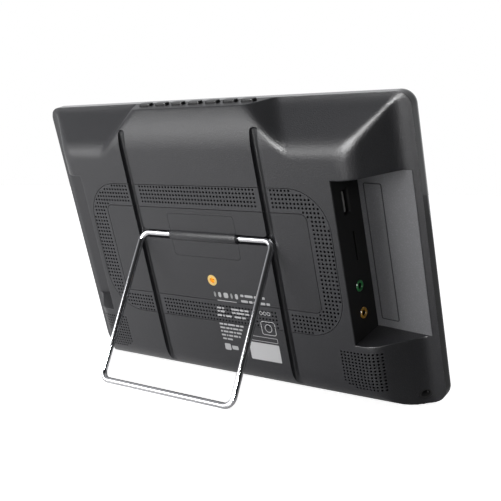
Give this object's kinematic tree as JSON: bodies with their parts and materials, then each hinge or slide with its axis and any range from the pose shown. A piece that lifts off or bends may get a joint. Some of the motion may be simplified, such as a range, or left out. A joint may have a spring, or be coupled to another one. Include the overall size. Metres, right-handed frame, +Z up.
{
  "type": "digital photo frame",
  "caption": "Landscape desktop digital frame leaning on a folding wire stand, with a grooved rear cover, side socket bays, vent ring and top buttons.",
  "frame": {"origin": "on the resting surface, below the middle of the bounding box, with the stand open", "axes": "+Z up, -Y towards the viewer of the screen, +X to that viewer's right"},
  "size_m": [0.262, 0.0944, 0.1659],
  "materials": {
    "cover_plastic": "fine spark-eroded texture, satin",
    "bezel_plastic": "piano black",
    "grille_plastic": "fine spark-eroded texture, satin",
    "button_plastic": "smooth, slightly worn",
    "port_plastic": "smooth black",
    "chrome_wire": "bright plated",
    "insert_brass": "turned",
    "screen_glass": "dark polarised display, switched off",
    "light_guide": "clear acrylic",
    "tray_steel": "zinc-plated sheet",
    "socket_steel": "plated sheet",
    "spring_steel": "oiled spring strip",
    "screw_steel": "zinc plated",
    "tongue_plastic": "white moulding with contact strips",
    "green_ring": "green moulding",
    "amber_ring": "amber moulding",
    "socket_body": "black moulding",
    "board_laminate": "green solder mask",
    "chip_epoxy": "black epoxy",
    "battery_wrap": "blue heat-shrink sleeve",
    "speaker_body": "coated paper and ferrite"
  },
  "bodies": {
    "frame_body": {"rear_cover": "cover_plastic", "front_bezel": "bezel_plastic", "lcd_glass": "screen_glass", "lcd_light_guide": "light_guide", "lcd_tray": "tray_steel", "vent_grille_left": "grille_plastic", "vent_grille_right": "grille_plastic", "vent_grille_top": "grille_plastic", "vent_grille_bottom": "grille_plastic", "hinge_cover": "cover_plastic", "hinge_saddle": "cover_plastic", "hinge_flap": "cover_plastic", "hinge_clips": "spring_steel", "hinge_screws": "screw_steel", "mount_insert": "insert_brass", "button_board": "board_laminate", "button_switches": "socket_body", "button_board_posts": "tray_steel", "port_plate_left": "port_plastic", "port_plate_right": "port_plastic", "usb_shell": "socket_steel", "usb_tongue": "tongue_plastic", "card_socket": "socket_steel", "headphone_jack": "socket_body", "headphone_ring": "green_ring", "av_jack": "socket_body", "av_ring": "amber_ring", "dc_jack": "socket_body", "antenna_socket": "insert_brass", "power_switch_body": "socket_body", "main_board": "board_laminate", "board_standoffs": "insert_brass", "board_screws": "screw_steel", "board_chips": "chip_epoxy", "tuner_shield": "tray_steel", "battery_pack": "battery_wrap", "speaker_left": "speaker_body", "speaker_right": "speaker_body", "case_screws": "screw_steel"},
    "stand": {"stand_wire": "chrome_wire"},
    "power_slider": {"power_switch_knob": "button_plastic"},
    "button_1_body": {"button_1": "button_plastic"},
    "button_2_body": {"button_2": "button_plastic"},
    "button_3_body": {"button_3": "button_plastic"},
    "button_4_body": {"button_4": "button_plastic"},
    "button_5_body": {"button_5": "button_plastic"},
    "button_6_body": {"button_6": "button_plastic"},
    "button_7_body": {"button_7": "button_plastic"}
  },
  "joints": [
    {"name": "stand_hinge", "type": "hinge", "parent": "frame_body", "child": "stand", "pos_m": [0, 0.01209, 0.08717], "axis": [1, 0, 0], "range_deg": [-40, 135]},
    {"name": "button_1_press", "type": "slide", "parent": "frame_body", "child": "button_1_body", "axis": [0, -0.3202, -0.9474], "range_m": [0, 0.0008], "stiffness_N_per_m": 2000, "springref_m": -0.0001},
    {"name": "button_2_press", "type": "slide", "parent": "frame_body", "child": "button_2_body", "axis": [0, -0.3202, -0.9474], "range_m": [0, 0.0008], "stiffness_N_per_m": 2000, "springref_m": -0.0001},
    {"name": "button_3_press", "type": "slide", "parent": "frame_body", "child": "button_3_body", "axis": [0, -0.3202, -0.9474], "range_m": [0, 0.0008], "stiffness_N_per_m": 2000, "springref_m": -0.0001},
    {"name": "button_4_press", "type": "slide", "parent": "frame_body", "child": "button_4_body", "axis": [0, -0.3202, -0.9474], "range_m": [0, 0.0008], "stiffness_N_per_m": 2000, "springref_m": -0.0001},
    {"name": "button_5_press", "type": "slide", "parent": "frame_body", "child": "button_5_body", "axis": [0, -0.3202, -0.9474], "range_m": [0, 0.0008], "stiffness_N_per_m": 2000, "springref_m": -0.0001},
    {"name": "button_6_press", "type": "slide", "parent": "frame_body", "child": "button_6_body", "axis": [0, -0.3202, -0.9474], "range_m": [0, 0.0008], "stiffness_N_per_m": 2000, "springref_m": -0.0001},
    {"name": "button_7_press", "type": "slide", "parent": "frame_body", "child": "button_7_body", "axis": [0, -0.3202, -0.9474], "range_m": [0, 0.0008], "stiffness_N_per_m": 2000, "springref_m": -0.0001},
    {"name": "power_switch_slide", "type": "slide", "parent": "frame_body", "child": "power_slider", "axis": [0, 0.3202, 0.9474], "range_m": [0, 0.002]}
  ]
}
